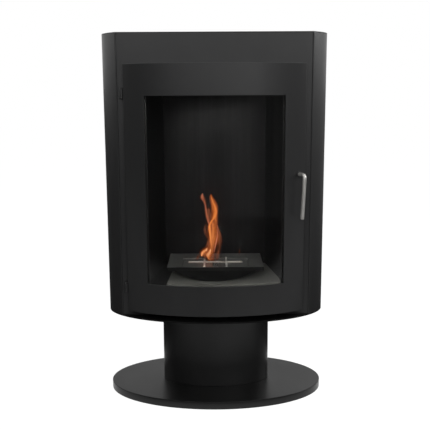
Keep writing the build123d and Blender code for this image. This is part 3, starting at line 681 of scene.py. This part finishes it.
# dark cards that only reflections see: a low ring on the floor and a wall round the stove
cards = {
    "turns": 96, "radius": 3.0, "low": 0.003,
    # the noise between their dark and light bands, and the width over which they get lighter
    "bandScale": 2.4, "bandSpread": (0.4, 0.62), "sideReach": 0.9,
    "ring": {
        "gap": 0.03, "rear": 0.1, "glow": (0.03, 0.06), "sides": (0.7, 1.25),
        # its glow near the stove and further out, and how much more it has in a band across in front
        "reach": (0.3, 1.3), "shares": (0.2, 1.4),
        "frontShare": 9.5, "frontRise": (-1.4, -1.0), "frontFade": (-0.5, -0.3)},
    "wall": {
        "height": 0.9, "cornerAngles": (58, -69), "cornerSpread": 20, "cornerHeight": 1.6,
        "glow": (0.08, 0.15), "sides": (0.5, 1.5)},
}


def ringShare(tree, options):
    # how much the ring glows: more further out, and most in a band across in front of the stove
    place, away = addNode(tree, "TexCoord"), addNode(tree, "VectorMath", operation="LENGTH")
    tree.links.new(place.outputs["Object"], away.inputs[0])
    spread = remap(tree, away.outputs["Value"], *options["reach"], *options["shares"])
    depth = placeAxes(tree)["Y"]
    rise = remap(tree, depth, *options["frontRise"], 0, options["frontShare"])
    fade = remap(tree, depth, *options["frontFade"], 1, 0)
    return mathNode(tree, "ADD", spread, mathNode(tree, "MULTIPLY", rise, fade))


def cardFinish(kind, options):
    # matt dark card with a little glow in broad upright bands, stronger towards the right
    material, tree, shader = newFinish(kind + "Card", {})
    tree.nodes.remove(shader)
    bands = pointNoise(tree, (1, 1, 0.05), cards["bandScale"], detail=3, roughness=0.6)
    bands = remap(tree, bands, *cards["bandSpread"], *options["glow"])
    reach = cards["sideReach"]
    side = remap(tree, placeAxes(tree)["X"], -reach, reach, *options["sides"])
    level = mathNode(tree, "MULTIPLY", bands, side)
    if kind == "ring":
        level = mathNode(tree, "MULTIPLY", level, ringShare(tree, options))
    glow = addNode(tree, "Emission")
    tree.links.new(level, glow.inputs["Strength"])
    tree.links.new(glow.outputs[0], tree.nodes["Material Output"].inputs["Surface"])
    return material


def makeCards():
    # as photographers stand round glossy black things: a low ring on the floor, whose inner edge is an
    # oval round the foot that draws back behind the stove with the square of a raised cosine, and a wall
    # whose height is a base plus a bell-shaped rise at each front corner
    ring, wall = cards["ring"], cards["wall"]
    turn = np.linspace(0, 2 * math.pi, cards["turns"], endpoint=False)
    fromFront = np.degrees(math.pi - turn)
    rise = sum(np.exp(-((fromFront - angle) / wall["cornerSpread"]) ** 2) for angle in wall["cornerAngles"])
    height = wall["height"] + wall["cornerHeight"] * rise
    rim = np.stack([-np.sin(turn), np.cos(turn)], axis=-1)
    i = np.arange(len(turn))
    j = (i + 1) % len(turn)
    faces = np.stack([i, i + len(turn), j + len(turn), j], axis=-1).tolist()
    foot = np.array(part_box("foot_shell")[1])[:2] + ring["gap"]
    inner = foot + ring["rear"] * ((1 + np.cos(turn[:, None])) / 2) ** 2
    low = np.full(len(turn), cards["low"])
    outerEdge = np.column_stack([rim * cards["radius"], low])
    innerEdge = np.column_stack([rim * inner, low])
    topEdge = np.column_stack([rim * cards["radius"], height])
    for kind, edges in (("ring", (innerEdge, outerEdge)), ("wall", (outerEdge, topEdge))):
        points = np.concatenate(edges).tolist()
        card = linkMesh("card" + kind.capitalize(), points, faces, cardFinish(kind, cards[kind]))
        card.visible_camera = card.visible_diffuse = card.visible_shadow = False


lamps = {
    "overhead": {"place": (0.0, -0.9, 2.6), "aim": (0, 0, 0.7), "size": (1.8, 1.2), "power": 1.5},
    "fill": {"place": (0.08, -1.9, 1.15), "aim": (0, 0, 0.4), "size": (1.6, 0.5), "power": 13,
             "hidden": True},
    "frontRight": {"place": (1.15, -2.75, 1.5), "aim": (0.2, -0.15, 0.9), "size": (0.5, 0.5),
                   "power": 3.0},
    "left": {"place": (-2.4, 0.15, 1.9), "aim": (-0.2, 0, 0.8), "size": (0.9, 1.4), "power": 5},
    "right": {"place": (2.4, 0.15, 1.9), "aim": (0.2, 0, 0.8), "size": (0.9, 1.4), "power": 20},
}


def makeLamp(name, options):
    # a lamp that is marked hidden doesn't show in reflections
    data = bpy.data.lights.new(name, "AREA")
    data.shape = "RECTANGLE"
    data.size, data.size_y = options["size"]
    data.energy = options["power"]
    lamp = bpy.data.objects.new(name, data)
    lamp.location = options["place"]
    lamp.visible_glossy = not options.get("hidden", False)
    lamp.rotation_euler = (Vector(options["aim"]) - lamp.location).to_track_quat("-Z", "Y").to_euler()
    bpy.context.scene.collection.objects.link(lamp)


# the picture was taken from the height of the door's upper half, looking down, as with a 56 mm lens
shot = {"imageSize": 430, "focalPixels": 670.2, "sensor": 36, "down": 10.05, "roll": 0.28,
        "place": (-0.0005, -1.8343, 0.8224)}


def makeCamera():
    data = bpy.data.cameras.new("shot")
    data.sensor_width = shot["sensor"]
    data.lens = shot["focalPixels"] * shot["sensor"] / shot["imageSize"]
    camera = bpy.data.objects.new("shot", data)
    down, roll = math.radians(shot["down"]), math.radians(shot["roll"])
    ahead = Vector((0, math.cos(down), -math.sin(down)))
    level = Vector((1, 0, 0))
    upright = level.cross(ahead)
    right = level * math.cos(roll) - upright * math.sin(roll)
    up = upright * math.cos(roll) + level * math.sin(roll)
    turn = Matrix((right, up, -ahead)).transposed().to_4x4()
    camera.matrix_world = Matrix.Translation(shot["place"]) @ turn
    bpy.context.scene.collection.objects.link(camera)
    bpy.context.scene.camera = camera


makeWorld()
makeFloor()
makeCards()
for lampName, lampOptions in lamps.items():
    makeLamp(lampName, lampOptions)
makeCamera()
bpy.context.scene.view_settings.view_transform = "Standard"
print("studio set")
